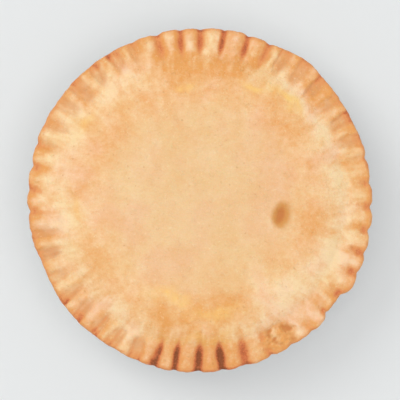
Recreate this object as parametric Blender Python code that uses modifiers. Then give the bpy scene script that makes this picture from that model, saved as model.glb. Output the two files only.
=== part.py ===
"""A minced beef and onion pie, baked shut, in the foil tin that it is sold in.

Metres, +Z up. The origin is the middle of the tin's base, on the surface that it stands on.
The pie is one solid: an uncut pie shows nothing but its pastry. Its edge is pressed together by a
crimping wheel, in three ways. Where the wheel stood upright it left long grooves that reach up the
shoulder of the lid. Where it leaned outwards it left short ones that notch the outline. Where it lay
flat it left wide shallow marks. One pair of crimps has run together and torn.
"""

import math
import random

import bpy
from mathutils import Matrix, Vector, noise

# The tin: a pressed foil plate with a fluted wall, a flat rim and a rolled edge
FOIL = 0.0003  # wall thickness of the solid
TIN_DEPTH = 0.0231  # from the surface up to the top of the rim
TIN_BASE_RADIUS = 0.0399
TIN_MOUTH_RADIUS = 0.0507
TIN_BEND = 0.0013  # how far the rounded corners at base and mouth reach
TIN_RADIUS = 0.0563  # over the rolled edge
ROLL_RADIUS = 0.0006  # of the rolled edge
ROLL_RISE = 0.0001  # how far the rolled edge stands above the flat rim
ROLL_TURNS = (90, 30, -30, -90, -150)  # degrees round the roll, from its top to where it tucks under
FLUTES = 60
FLUTE_DEPTH = 0.0004  # in and out from the plain wall
TIN_STEPS = 2 * FLUTES  # each flute has one crest and one hollow

# The pie
FIT = 0.0003  # gap between the pastry and the foil
PIE_RADIUS = 0.0580  # over the ridges of the edge
EDGE_FOOT = TIN_DEPTH + ROLL_RISE + FIT  # underside of the edge, on the tin's rim
EDGE_TOP = 0.0270  # the level that the lid falls to
EDGE_INNER = 0.0496  # where the plain lid meets that level
EDGE_RINGS = (0.0501, 0.0525, 0.0550)
EDGE_ROUND = 0.0010  # how far the edge is rounded, top and bottom
LID_RISE = 0.0043  # from that level to the middle of the lid
LID_RINGS = (0, 0.011, 0.022, 0.033, 0.041, 0.045, 0.0472, 0.0488)
SHOULDER_POWER = 9  # a high power keeps the lid flat and its shoulder short
SHOULDER_ROUND = 0.9  # below 1, the shoulder meets the edge more steeply
LID_WAVE = 0.0004  # how uneven the lid is
LID_WAVE_LENGTH = 0.019
LID_WAVE_FADE = 0.008  # how far inside the edge the waves die out

# The ridges between the crimps, which run down from the shoulder to the rim
RIDGE_RISE = 0.0005  # above the level of the edge, near the rim
RIDGE_SLOPE = 0.06  # how they rise towards the lid
RIDGE_ENDS = (0.0440, 0.0560)
FILLET = 0.0006  # where they meet the lid

# The crimps
CRIMPS = 46
CRIMP_MIDDLES = (  # degrees, for the half of the edge that shows best, from the X axis
    -105.3, -98.7, -90.4, -82.7, -73.9, -65.4, -57.6, -49.4, -41.7, -33.9, -25.4, -18.3, -10.1, -2.1, 5.7,
    14.2, 21.1, 29.1, 36.6, 44.5, 51.7, 59.7, 65.9,
)  # fmt: skip
CRIMP_START = math.radians(CRIMP_MIDDLES[0])
CRIMP_SHIFT = 0.08  # of a pitch: how unevenly the other crimps are spaced
CRIMP_STRENGTHS = (0.75, 1.15)
CRIMP_FADE = 0.006  # how far inside the edge the uneven spacing dies out
STEPS_PER_CRIMP = 5
STEPS_CROWD = 0.07  # of a pitch: how far these steps are drawn towards the middle of the crimp
PIE_STEPS = CRIMPS * STEPS_PER_CRIMP

# Long grooves and short ones, a pair of sizes each
GROOVE_DEPTH = (0.0016, 0.00085)
GROOVE_START = (0.0436, 0.0516)
GROOVE_END = (0.0540, 0.0560)  # where a groove has reached its depth
NOTCH = (0.0006, 0.0008)  # how far a groove cuts into the outline
GROOVE_HALF = (0.0005, 0.00135)  # half width, where a long groove starts and over the edge
GROOVE_FLARE = (0.0445, 0.0525)  # where it widens
GROOVE_POWER = 1.6  # 2 rounds the bottom of a groove, and less sharpens it
GROOVE_EASE = 1.2  # above 1, a groove deepens later along its length
DIP_HALF = 0.0026  # half width of the shallow dip round a groove
DIP_SHARE = 0.3
GROOVE_LOSS = (0.0, 0.25)  # the share of its depth that a groove loses where it runs over the rim

# Wide marks
MARK_DEPTH = 0.00075
MARK_HALF = (0.15, 0.27)  # of a pitch: half width at the inner end and over the edge
MARK_FLARE = (0.0480, 0.0530)
MARK_SIDE = 0.09  # of a pitch: how far the sides of a mark slope
MARK_START = (0.0478, 0.0523)
MARK_LOSS = 0.3  # the share of its depth that a mark loses where it runs over the rim
RIM = (0.0563, 0.0577)  # where the edge starts to round off, and where it has

# Stretches of the edge (degrees, middle and half width). All the other crimps are long grooves
MARKED_STRETCHES = ((40, 26), (137, 24), (222, 34))
NOTCHED_STRETCHES = ((-21, 36), (182, 22))
STRETCH_FADE = (1.15, 0.75)  # of the half width: where a stretch has ended, and where it is in full

# The torn crimps: a patch of lumps
TORN_AT = math.radians(-60.5)
TORN_RADIUS = 0.0530
TORN_HALF_LENGTH = 0.0058
TORN_HALF_WIDTH = 0.0042
TORN_FADE = (1.20, 0.85)  # of those sizes: where the patch has ended, and where it is in full
LUMPS_LEVEL = 0.00035  # above the level of the edge
LUMP_RISE = 0.0005  # up and down from there
LUMP_SIZE = 0.0029

# The outline isn't quite round: (place in degrees, half width in degrees, how far out)
OUTLINE_BUMPS = (
    (-22, 14.0, 0.0008),
    (-31, 3.5, 0.0008),
    (-39, 4.5, -0.0015),
    (-48, 8.0, 0.0006),
    (8, 16.0, -0.0003),
    (50, 8.0, 0.0010),
    (148, 20.0, 0.0004),
    (205, 9.0, -0.0007),
    (-95, 14.0, 0.0003),
)

# The vent: an oval dent where the lid was pierced, filled again by the baking
VENT_PLACE = (0.0271, -0.0051)
VENT_HALF_WIDTH = 0.0028
VENT_HALF_LENGTH = 0.0041
VENT_DEPTH = 0.0008
VENT_TURN = math.radians(-13)  # from the Y axis

PASTRY_COLOUR = (0.86, 0.56, 0.27, 1)
FOIL_COLOUR = (0.80, 0.81, 0.82, 1)

TURN = 2 * math.pi


def smooth(low, high, value):
    """0 at low, 1 at high, and an even S in between."""
    t = min(max((value - low) / (high - low), 0), 1)
    return t * t * (3 - 2 * t)


def bell(value, width):
    """1 at 0, falling off on both sides."""
    return math.exp(-((value / width) ** 2))


def between(pair, share):
    """The first of two values where share is 0, and the second where it is 1."""
    return pair[0] + (pair[1] - pair[0]) * share


def crimp_shifts(draw):
    """How far each crimp lies from its even place, of a pitch."""
    uneven = [draw.uniform(-CRIMP_SHIFT, CRIMP_SHIFT) for _ in range(CRIMPS)]
    seen = len(CRIMP_MIDDLES)
    gap = (CRIMP_MIDDLES[0] + 360 - CRIMP_MIDDLES[-1]) / (CRIMPS - seen + 1)
    shifts = []
    for number in range(CRIMPS):
        even_place = CRIMP_MIDDLES[0] + number * 360 / CRIMPS
        if number < seen:
            shifts.append((CRIMP_MIDDLES[number] - even_place) * CRIMPS / 360)
        else:
            place = CRIMP_MIDDLES[-1] + gap * (number - seen + 1)
            shifts.append((place - even_place) * CRIMPS / 360 + uneven[number])
    return shifts


draw = random.Random(45)
crimp_shift = crimp_shifts(draw)
crimp_strength = [draw.uniform(*CRIMP_STRENGTHS) for _ in range(CRIMPS)]


def clear_scene():
    for old in list(bpy.data.objects):
        bpy.data.objects.remove(old)


def new_collection(name):
    made = bpy.data.collections.new(name)
    bpy.context.scene.collection.children.link(made)
    return made


def new_material(name, colour, roughness, metallic):
    material = bpy.data.materials.new(name)
    material.use_nodes = True
    shader = material.node_tree.nodes["Principled BSDF"]
    shader.inputs["Base Color"].default_value = colour
    shader.inputs["Roughness"].default_value = roughness
    shader.inputs["Metallic"].default_value = metallic
    return material


def turned(name, section, steps, collection, material):
    """A solid turned about Z. The section runs from the top of the axis, over the outside, to its foot."""
    mesh = bpy.data.meshes.new(name)
    mesh.from_pydata(
        [(radius, 0, height) for radius, height in section],
        [(i, i + 1) for i in range(len(section) - 1)],
        [],
    )
    solid = bpy.data.objects.new(name, mesh)
    collection.objects.link(solid)
    screw = solid.modifiers.new("turn", "SCREW")
    screw.steps = screw.render_steps = steps
    screw.use_merge_vertices = True
    screw.merge_threshold = 0.00002
    graph = bpy.context.evaluated_depsgraph_get()
    solid.data = bpy.data.meshes.new_from_object(solid.evaluated_get(graph))
    solid.modifiers.clear()
    solid.data.materials.append(material)
    return solid


# The pie


def lid_height(radius):
    """Height of the plain lid: flat in the middle, falling over its shoulder to the level of the edge."""
    share = min(radius / EDGE_INNER, 1)
    return EDGE_TOP + LID_RISE * (1 - share**SHOULDER_POWER) ** SHOULDER_ROUND


def ridge_height(radius):
    """Height of the lid and, outside it, of the ridges, with a fillet between them."""
    lid = lid_height(radius)
    ridge = EDGE_TOP + RIDGE_RISE + RIDGE_SLOPE * (RIDGE_ENDS[1] - max(radius, RIDGE_ENDS[0]))
    return (lid + ridge + math.hypot(lid - ridge, FILLET)) / 2


def wall_radius(height):
    """Outside of the tin's wall, between the flutes' crests and hollows."""
    share = height / TIN_DEPTH
    return TIN_BASE_RADIUS + TIN_BEND / 2 + share * (TIN_MOUTH_RADIUS - TIN_BASE_RADIUS - TIN_BEND / 2)


def pie_section():
    """From the middle of the lid, over the edge and down the side, to the middle of the base."""
    top = [(radius, ridge_height(radius)) for radius in LID_RINGS + EDGE_RINGS]
    rim_top = ridge_height(PIE_RADIUS)
    middle = (rim_top + EDGE_FOOT) / 2
    rim = [
        (PIE_RADIUS - EDGE_ROUND, rim_top - 0.1 * EDGE_ROUND),
        (PIE_RADIUS, middle + 0.7 * EDGE_ROUND),
        (PIE_RADIUS - 0.2 * EDGE_ROUND, middle - 0.7 * EDGE_ROUND),
        (PIE_RADIUS - 1.3 * EDGE_ROUND, EDGE_FOOT),
    ]
    inset = FLUTE_DEPTH + FOIL + FIT
    foot = FOIL + FIT
    side = [
        (wall_radius(TIN_DEPTH) - inset, EDGE_FOOT),
        (wall_radius(TIN_BEND) - inset, foot + TIN_BEND),
        (wall_radius(0) - inset - TIN_BEND, foot),
        (0, foot),
    ]
    return top + rim + side


def outline_shift(angle):
    """How far the outline stands out from a circle at this angle."""
    total = 0.0
    for place, half_width, out in OUTLINE_BUMPS:
        total += out * bell(math.remainder(math.degrees(angle) - place, 360), half_width)
    return total


def share_of(stretches, angle):
    """1 inside any of the stretches of the edge, 0 outside them."""
    share = 0.0
    for middle, half_width in stretches:
        away = abs(math.remainder(math.degrees(angle) - middle, 360))
        share = max(share, smooth(*STRETCH_FADE, away / half_width))
    return share


def groove_vee(across, radius):
    """How deep in a groove a point is, from 0 outside it to 1 in its middle."""
    half = between(GROOVE_HALF, smooth(*GROOVE_FLARE, radius))
    return math.exp(-((across / half) ** GROOVE_POWER))


def groove_depth(across, radius, short):
    """How far the wheel's edge pressed the pastry down."""
    runs = smooth(between(GROOVE_START, short), between(GROOVE_END, short), radius)
    groove = (1 - DIP_SHARE) * groove_vee(across, radius) + DIP_SHARE * bell(across, DIP_HALF)
    left = 1 - between(GROOVE_LOSS, short) * smooth(*RIM, radius)
    return between(GROOVE_DEPTH, short) * groove * left * runs**GROOVE_EASE


def mark_depth(off, radius):
    """How far the wheel's flat side pressed the pastry down, this far off the middle, of a pitch."""
    half = between(MARK_HALF, smooth(*MARK_FLARE, radius))
    across = smooth(half + MARK_SIDE, half - MARK_SIDE, off)
    left = 1 - MARK_LOSS * smooth(*RIM, radius)
    return MARK_DEPTH * across * left * smooth(*MARK_START, radius)


def torn_share(radius, angle):
    """1 in the torn patch, 0 outside it."""
    along = math.remainder(angle - TORN_AT, TURN) * TORN_RADIUS / TORN_HALF_LENGTH
    across = (radius - TORN_RADIUS) / TORN_HALF_WIDTH
    return smooth(*TORN_FADE, math.hypot(along, across))


def crimped(point):
    """Where a point of the plain turned pie goes once its lid is uneven and its edge is crimped."""
    radius = math.hypot(point.x, point.y)
    if radius < EDGE_ROUND:
        return point
    height = point.z
    angle = math.atan2(point.y, point.x)
    place = (angle - CRIMP_START) / TURN * CRIMPS
    place -= STEPS_CROWD * math.sin(TURN * place)
    angle = CRIMP_START + place * TURN / CRIMPS
    number = round(place)
    off = abs(place - number)
    on_top = smooth(EDGE_FOOT, EDGE_TOP - EDGE_ROUND / 2, height)
    flat = Vector((radius * math.cos(angle), radius * math.sin(angle), 0))
    wave = noise.noise(flat / LID_WAVE_LENGTH) * smooth(EDGE_INNER, EDGE_INNER - LID_WAVE_FADE, radius)
    height += on_top * LID_WAVE * wave

    wide = share_of(MARKED_STRETCHES, angle)
    short = share_of(NOTCHED_STRETCHES, angle)
    across = off * TURN * radius / CRIMPS
    strength = crimp_strength[number % CRIMPS]
    pressed = (1 - wide) * groove_depth(across, radius, short) + wide * mark_depth(off, radius)
    height -= on_top * strength * pressed
    torn = on_top * torn_share(radius, angle)
    lump = EDGE_TOP + LUMPS_LEVEL + LUMP_RISE * noise.noise(flat / LUMP_SIZE)
    height += torn * (lump - height)

    at_rim = smooth(TIN_RADIUS - 2 * ROLL_RADIUS, PIE_RADIUS, radius)
    notch = between(NOTCH, short) * strength * groove_vee(across, radius) * (1 - wide)
    radius += at_rim * (outline_shift(angle) - notch)
    neighbour = number + (1 if place > number else -1)
    shift = (1 - off) * crimp_shift[number % CRIMPS] + off * crimp_shift[neighbour % CRIMPS]
    angle += shift * TURN / CRIMPS * smooth(EDGE_INNER - CRIMP_FADE, EDGE_INNER, radius)
    return Vector((radius * math.cos(angle), radius * math.sin(angle), height))


def vent_cutter(collection):
    """The stick that pokes the vent: an egg shape, sunk halfway into the lid."""
    bpy.ops.mesh.primitive_uv_sphere_add(segments=20, ring_count=10, radius=1)
    cutter = bpy.context.object
    cutter.name = "vent_cutter"
    cutter.data.transform(Matrix.Diagonal((VENT_HALF_WIDTH, VENT_HALF_LENGTH, VENT_DEPTH, 1)))
    cutter.location = (*VENT_PLACE, lid_height(math.hypot(*VENT_PLACE)))
    cutter.rotation_euler.z = VENT_TURN
    cutter.hide_render = True
    cutter.display_type = "WIRE"
    for home in list(cutter.users_collection):
        home.objects.unlink(cutter)
    collection.objects.link(cutter)
    return cutter


def make_pie(parts, cutters):
    pastry = new_material("pastry", PASTRY_COLOUR, 0.6, 0)
    pie = turned("pie", pie_section(), PIE_STEPS, parts, pastry)
    pie.data.transform(Matrix.Rotation(CRIMP_START, 4, "Z"))  # so that each crimp has steps in its middle
    for vertex in pie.data.vertices:
        vertex.co = crimped(vertex.co)
    cut = pie.modifiers.new("vent", "BOOLEAN")
    cut.object = vent_cutter(cutters)
    return pie


# The foil tin


def tin_section():
    """From the inside of the base, up the wall, over the rim and its rolled edge, and back down outside."""
    roll_at = (TIN_RADIUS - ROLL_RADIUS, TIN_DEPTH - ROLL_RADIUS + ROLL_RISE)
    roll = [
        (roll_at[0] + ROLL_RADIUS * math.cos(turn), roll_at[1] + ROLL_RADIUS * math.sin(turn))
        for turn in map(math.radians, ROLL_TURNS)
    ]
    inside = [
        (0, FOIL),
        (TIN_BASE_RADIUS - TIN_BEND / 2, FOIL),
        (wall_radius(TIN_BEND) - FOIL, TIN_BEND),
        (wall_radius(TIN_DEPTH / 2) - FOIL, TIN_DEPTH / 2),
        (wall_radius(TIN_DEPTH) - FOIL, TIN_DEPTH - TIN_BEND / 2),
        (TIN_MOUTH_RADIUS + TIN_BEND / 2, TIN_DEPTH),
    ]
    outside = [
        (TIN_MOUTH_RADIUS + TIN_BEND / 2, TIN_DEPTH - FOIL),
        (wall_radius(TIN_DEPTH), TIN_DEPTH - FOIL - TIN_BEND / 2),
        (wall_radius(TIN_DEPTH / 2), TIN_DEPTH / 2),
        (wall_radius(TIN_BEND), TIN_BEND),
        (TIN_BASE_RADIUS - TIN_BEND / 2, 0),
        (0, 0),
    ]
    return inside + roll + outside


def fluted(point):
    """Moves a point of the plain tin in or out, so that the wall is pleated between base and rim."""
    radius = math.hypot(point.x, point.y)
    above_base = smooth(TIN_BEND / 2, TIN_BEND * 2, point.z)
    on_wall = above_base * smooth(TIN_DEPTH, TIN_DEPTH - TIN_BEND, point.z)
    if radius > TIN_MOUTH_RADIUS + TIN_BEND / 4 or not on_wall:
        return point
    angle = math.atan2(point.y, point.x)
    radius += FLUTE_DEPTH * on_wall * math.cos(FLUTES * angle)
    return Vector((radius * math.cos(angle), radius * math.sin(angle), point.z))


def make_tin(parts):
    foil = new_material("foil", FOIL_COLOUR, 0.3, 1)
    tin = turned("foil_tin", tin_section(), TIN_STEPS, parts, foil)
    for vertex in tin.data.vertices:
        vertex.co = fluted(vertex.co)
    return tin


def main():
    clear_scene()
    parts = new_collection("minced_beef_and_onion_pie")
    cutters = new_collection("cutters")
    whole = bpy.data.objects.new("pie_in_its_tin", None)
    parts.objects.link(whole)
    for solid in (make_pie(parts, cutters), make_tin(parts)):
        solid.parent = whole


main()
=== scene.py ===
# %% [markdown]
# # A minced beef and onion pie in its foil tin
#
# This lesson dresses a plain model of a baked pie so that it looks like the one in the photograph: a pale
# golden lid, crimps that have browned in their grooves, and a crinkled foil tin. The plain model has the
# sizes, and everything here keeps to them. It is loaded first, and its size is printed, as the dressed
# pie's is at the end.

# %% Load the plain model
import math
import random

import bpy
import numpy as np
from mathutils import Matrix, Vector, noise


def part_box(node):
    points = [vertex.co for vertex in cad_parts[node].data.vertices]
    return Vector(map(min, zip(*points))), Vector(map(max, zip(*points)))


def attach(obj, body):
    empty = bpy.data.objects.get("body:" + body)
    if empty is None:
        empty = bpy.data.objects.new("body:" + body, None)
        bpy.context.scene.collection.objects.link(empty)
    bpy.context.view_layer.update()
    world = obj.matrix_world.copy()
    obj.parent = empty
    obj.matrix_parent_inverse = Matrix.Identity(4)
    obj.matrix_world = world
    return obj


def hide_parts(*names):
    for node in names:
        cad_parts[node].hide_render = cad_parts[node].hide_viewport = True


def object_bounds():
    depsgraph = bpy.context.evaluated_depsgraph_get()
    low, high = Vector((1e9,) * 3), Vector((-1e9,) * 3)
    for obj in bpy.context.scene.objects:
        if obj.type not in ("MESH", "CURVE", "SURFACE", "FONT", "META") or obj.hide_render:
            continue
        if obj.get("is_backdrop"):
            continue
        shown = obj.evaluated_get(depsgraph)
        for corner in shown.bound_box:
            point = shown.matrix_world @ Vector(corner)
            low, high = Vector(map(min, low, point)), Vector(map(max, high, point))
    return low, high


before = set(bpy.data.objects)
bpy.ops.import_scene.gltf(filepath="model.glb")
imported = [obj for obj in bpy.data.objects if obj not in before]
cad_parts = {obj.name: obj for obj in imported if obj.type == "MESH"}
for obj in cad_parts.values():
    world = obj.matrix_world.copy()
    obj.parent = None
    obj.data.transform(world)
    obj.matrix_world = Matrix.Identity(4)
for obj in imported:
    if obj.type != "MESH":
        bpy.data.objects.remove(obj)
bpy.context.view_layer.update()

bpy.ops.object.select_all(action="DESELECT")
pie_low, pie_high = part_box("pie")
tin_low, tin_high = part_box("foil_tin")
print("pie", [round(1000 * side, 1) for side in pie_high - pie_low], "mm")
print("tin", [round(1000 * side, 1) for side in tin_high - tin_low], "mm")

# %% [markdown]
# ## Camera
#
# The photograph looks straight down on the pie. A long lens from further off keeps the edge of the pie as
# round as it is, so a lens of 135 mm is used. A camera that isn't turned already looks down with +Y up.

# %% Camera
FRAME_FILL = 0.86  # of the picture, across the pie
EDGE_LEVEL = 0.026  # height of the edge that fills it, in metres
LENS = 135.0
SENSOR = 36.0

camera_data = bpy.data.cameras.new("camera")
camera_data.lens = LENS
camera_data.sensor_width = SENSOR
camera = bpy.data.objects.new("camera", camera_data)
bpy.context.scene.collection.objects.link(camera)
seen_width = (pie_high.x - pie_low.x) / FRAME_FILL
camera.location = (0, 0, EDGE_LEVEL + seen_width * LENS / SENSOR)
bpy.context.scene.camera = camera
print("camera at", round(camera.location.z, 3), "m")

# %% [markdown]
# ## Floor and light
#
# A pale floor and soft studio light. The main lamp is large and stands to the upper left, which is the
# side the pie's little shadows fall away from. A broad lamp overhead and a pale world keep those shadows
# light.

# %% Floor
FLOOR_SIZE = 6.0  # metres
FLOOR_LEVEL = -0.00005  # just clear of the tin's base, as two faces in one plane flicker
FLOOR_COLOUR = (0.80, 0.81, 0.79, 1)
FLOOR_ROUGHNESS = 0.8

bpy.ops.mesh.primitive_plane_add(size=FLOOR_SIZE, location=(0, 0, FLOOR_LEVEL))
floor = bpy.context.object
floor.name = "floor"
floor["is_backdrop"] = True

floor_paint = bpy.data.materials.new("pale floor")
floor_paint.use_nodes = True
floor_shader = floor_paint.node_tree.nodes["Principled BSDF"]
floor_shader.inputs["Base Color"].default_value = FLOOR_COLOUR
floor_shader.inputs["Roughness"].default_value = FLOOR_ROUGHNESS
floor.data.materials.append(floor_paint)

# %% Lamps
LAMPS = (  # name, place and size in metres, and watts
    ("main lamp", (-0.60, 0.45, 0.85), 0.60, 3.1),
    ("overhead lamp", (0.10, -0.05, 1.30), 1.20, 5.7),
    ("low lamp", (0.85, -0.75, 0.45), 0.70, 0.8),
)
LAMPS_AIM = Vector((0, 0, 0.02))  # metres, the middle of the pie

for name, place, size, watts in LAMPS:
    lamp_data = bpy.data.lights.new(name, "AREA")
    lamp_data.shape = "SQUARE"
    lamp_data.size = size
    lamp_data.energy = watts
    lamp = bpy.data.objects.new(name, lamp_data)
    lamp.location = place
    lamp.rotation_euler = (LAMPS_AIM - Vector(place)).to_track_quat("-Z", "Y").to_euler()
    bpy.context.scene.collection.objects.link(lamp)
print(len(LAMPS), "lamps that face the pie")

# %% World
SKY_COLOUR = (0.93, 0.95, 1.0, 1)
SKY_STRENGTH = 0.60

world = bpy.data.worlds.new("studio")
bpy.context.scene.world = world
world.use_nodes = True
sky = world.node_tree.nodes["Background"]
sky.inputs["Color"].default_value = SKY_COLOUR
sky.inputs["Strength"].default_value = SKY_STRENGTH
bpy.context.scene.view_settings.view_transform = "Standard"

# %% [markdown]
# ## Working on rings of points
#
# The pie and its tin are both turned shapes with uneven detail. So each starts as a section that is
# traced point by point with extrude and spun round the middle, as a potter would throw it. The detail is
# pressed in afterwards by moving the points, for which numpy arrays of every point's radius, angle and
# height serve well. The alternative, sculpting by hand, can't be written down and repeated.

# %% Small helpers
TURN = 2 * math.pi
MM = 0.001
NOISE_GAIN = 1.4  # brings noise to about -1 to 1
NOISE_STEP = 17.3  # from one seed to the next


def smooth(low, high, value):
    """0 at low, 1 at high, and an even S in between, for a number or an array."""
    t = np.clip((value - low) / (high - low), 0, 1)
    return t * t * (3 - 2 * t)


def bell(value, width):
    """1 at 0, falling off on both sides."""
    return np.exp(-((value / width) ** 2))


def bumps(places, size, seed):
    """Smooth noise from about -1 to 1, with bumps about `size` apart."""
    moved = places / size + NOISE_STEP * seed
    return NOISE_GAIN * np.array([noise.noise(Vector(place)) for place in moved])


def to_places(radius, angle, height):
    """x, y and z of points, one row for each, from their radius, angle and height."""
    return np.stack([radius * np.cos(angle), radius * np.sin(angle), height], axis=1)


def streaks(angle, along, width, length, at_radius, seed):
    """Noise that is stretched one way: streaks `width` apart round the middle and `length` long."""
    return bumps(to_places(at_radius / width, angle, along / length), 1.0, seed)


# %% Trace a section and spin it
MERGE_WITHIN = 0.002 * MM  # the spin ends where it began, and its last points merge with its first


def spin_section(name, section, steps):
    """Traces a section of (radius, height) points and spins it round Z into one closed piece."""
    bpy.ops.object.select_all(action="DESELECT")
    bpy.ops.mesh.primitive_plane_add(size=MM)
    piece = bpy.context.object
    piece.name = piece.data.name = name
    bpy.ops.object.mode_set(mode="EDIT")
    bpy.ops.mesh.select_all(action="SELECT")
    bpy.ops.mesh.merge(type="CENTER")
    bpy.ops.transform.translate(value=(section[0][0], 0, section[0][1]))
    for (radius, height), (next_radius, next_height) in zip(section, section[1:]):
        step = (next_radius - radius, 0, next_height - height)
        bpy.ops.mesh.extrude_region_move(TRANSFORM_OT_translate={"value": step})
    bpy.ops.mesh.select_all(action="SELECT")
    bpy.ops.mesh.spin(steps=steps, angle=TURN, center=(0, 0, 0), axis=(0, 0, 1))
    bpy.ops.mesh.select_all(action="SELECT")
    bpy.ops.mesh.remove_doubles(threshold=MERGE_WITHIN)
    bpy.ops.mesh.normals_make_consistent(inside=False)
    bpy.ops.object.mode_set(mode="OBJECT")
    bpy.ops.object.shade_smooth()
    return piece


# %% Read and write a piece's points
def read_points(piece):
    """(radius, angle, height) of every point, as three arrays."""
    numbers = np.empty(3 * len(piece.data.vertices))
    piece.data.vertices.foreach_get("co", numbers)
    x, y, z = numbers.reshape(-1, 3).T
    return np.hypot(x, y), np.arctan2(y, x), z.copy()


def write_points(piece, radius, angle, height):
    """Moves every point to its new radius, angle and height."""
    piece.data.vertices.foreach_set("co", to_places(radius, angle, height).ravel())
    piece.data.update()


def write_attribute(piece, name, values):
    """One number for each point, which a material reads by name."""
    attribute = piece.data.attributes.new(name, "FLOAT", "POINT")
    attribute.data.foreach_set("value", np.clip(values, 0, 1))


# %% [markdown]
# ## The pastry's section
#
# The sizes are those of the plain model. The lid is nearly flat and falls over a short shoulder to the
# edge, which a crimping wheel has pressed. The ridges between the crimps were never pressed, so they run
# down from the shoulder without a break, and the section follows them. Rings lie closer together where
# more happens: round the vent, over the shoulder and on the edge.

# %% Sizes of the pastry
TIN_DEPTH = 23.1 * MM
PIE_RADIUS = 58.0 * MM  # over the ridges of the edge
EDGE_FOOT = 23.5 * MM  # underside of the edge
EDGE_TOP = 27.0 * MM
EDGE_INNER = 49.6 * MM  # where the lid starts to rise
RIDGE_RISE = 0.5 * MM
RIDGE_SLOPE = 0.06  # rise of the ridges towards the lid
RIDGE_ENDS = (44 * MM, 56 * MM)  # where the slope starts, and where a ridge has just RIDGE_RISE
LID_RISE = 4.3 * MM
SHOULDER_POWER = 9
SHOULDER_ROUND = 0.9
FILLET = 0.6 * MM


def lid_height(radius):
    """Height of the plain lid at a radius."""
    share = np.minimum(radius / EDGE_INNER, 1)
    return EDGE_TOP + LID_RISE * (1 - share**SHOULDER_POWER) ** SHOULDER_ROUND


def ridge_height(radius):
    """Height of the lid and, outside it, of the ridges, with a fillet between them."""
    lid = lid_height(radius)
    ridge = EDGE_TOP + RIDGE_RISE + RIDGE_SLOPE * (RIDGE_ENDS[1] - np.maximum(radius, RIDGE_ENDS[0]))
    return (lid + ridge + np.sqrt((lid - ridge) ** 2 + FILLET**2)) / 2


# %% Rings of the pastry
LID_RINGS = (  # mm, from and to a radius, and the gap between two rings
    (0.0, 20.4, 1.0),
    (20.4, 28.8, 0.35),
    (28.8, 41.0, 0.95),
    (41.0, 48.0, 0.5),
    (48.0, 56.5, 0.25),
)
RIM_POINTS = 25
RIM_SQUARENESS = 2.8  # 2 is a round rim, and more is squarer
HIDDEN_LINE = ((53.0, 23.5), (49.3, 23.5), (39.5, 2.4), (38.2, 1.1), (0, 1.1))  # mm, all of it in the tin


def spaced(start, end, gap):
    """Evenly spaced places from start up to end, about gap apart."""
    return np.linspace(start, end, max(1, round((end - start) / gap)), endpoint=False)


def pastry_section():
    """From the middle of the lid, over the edge and down the side, to the middle of the base."""
    radii = MM * np.concatenate([spaced(*zone) for zone in LID_RINGS])
    top = [(radius, float(ridge_height(radius))) for radius in radii]
    rim_from = MM * LID_RINGS[-1][1]
    rim_top = float(ridge_height(rim_from))
    middle = (rim_top + EDGE_FOOT) / 2
    rim = []
    for turn in np.linspace(math.pi / 2, -math.pi / 2, RIM_POINTS):
        out = abs(math.cos(turn)) ** (2 / RIM_SQUARENESS)
        up = math.copysign(abs(math.sin(turn)) ** (2 / RIM_SQUARENESS), turn)
        rim.append((rim_from + (PIE_RADIUS - rim_from) * out, middle + (rim_top - middle) * up))
    return top + rim + [(radius * MM, height * MM) for radius, height in HIDDEN_LINE]


# %% Spin the pastry
CRIMPS = 46
STEPS_PER_CRIMP = 15
NOISE_RADIUS = 60 * MM  # of an even ring on which noise for the edge is read

crust = spin_section("crust", pastry_section(), CRIMPS * STEPS_PER_CRIMP)
radius, angle, height = read_points(crust)
plain_radius, plain_angle, plain_height = radius.copy(), angle.copy(), height.copy()
places = to_places(radius, angle, height)
flat = places * (1, 1, 0)
round_rim = to_places(NOISE_RADIUS, angle, height)
on_top = smooth(EDGE_FOOT, EDGE_TOP - 0.5 * MM, plain_height)  # 1 on the lid, and 0 under the edge
print("crust", len(crust.data.vertices), "points,", len(crust.data.polygons), "faces")

# %% [markdown]
# ## Measures on the pie
#
# Nearly every detail depends on how far from the middle a point lies and on which side of the pie, and
# most of them need noise as well. So a few short helpers say that once, with radii in millimetres and
# places on the edge in degrees. Angles are counted from the right, anticlockwise, as in the photograph.

# %% Helpers for the crust's points
edge_places = round_rim + plain_radius[:, None] * (0, 0, 1)  # on the even ring, raised by their radius


def between(pair, share):
    """The first of two values where share is 0, and the second where it is 1."""
    return pair[0] + (pair[1] - pair[0]) * share


def over_radii(none, full):
    """0 at one radius and 1 at another, in mm, for each point."""
    return smooth(none * MM, full * MM, plain_radius)


def by_radius(table):
    """A value for each point, from a table of radii in mm and their values."""
    radii, values = zip(*table)
    return np.interp(plain_radius, np.array(radii) * MM, values)


def degrees_from(middle):
    """How far each point is from a place on the edge, in degrees, either way round."""
    return np.abs((np.degrees(plain_angle) - middle + 180) % 360 - 180)


def layered(points, layers):
    """Layers of bumps added up, each with a strength, a size in mm and a seed."""
    return sum(strength * bumps(points, size * MM, seed) for strength, size, seed in layers)


def crust_streaks(width, length, at_radius, seed):
    """Streaks along the crust's radius, with their sizes in mm."""
    return streaks(plain_angle, plain_radius, width * MM, length * MM, at_radius * MM, seed)


# %% [markdown]
# ## The lid
#
# Rolled pastry never bakes quite flat. Long low waves come from the filling under it, and shorter ones
# from the pastry itself. Short waves would have been simplest as bump in the material, but they show in
# the light from the side and along the lid's outline, so they are in the mesh.

# %% Waves in the lid
LID_WAVE = 0.4 * MM
LID_WAVE_LENGTH = 19 * MM
LID_WAVE_FADE = 8 * MM
EDGE_STREAK = 0.05 * MM

on_lid = on_top * smooth(EDGE_INNER, EDGE_INNER - LID_WAVE_FADE, plain_radius)
on_edge = on_top * over_radii(45, 50)
long_wave = np.array([noise.noise(Vector(place)) for place in flat / LID_WAVE_LENGTH])
height += on_lid * LID_WAVE * long_wave

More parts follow.
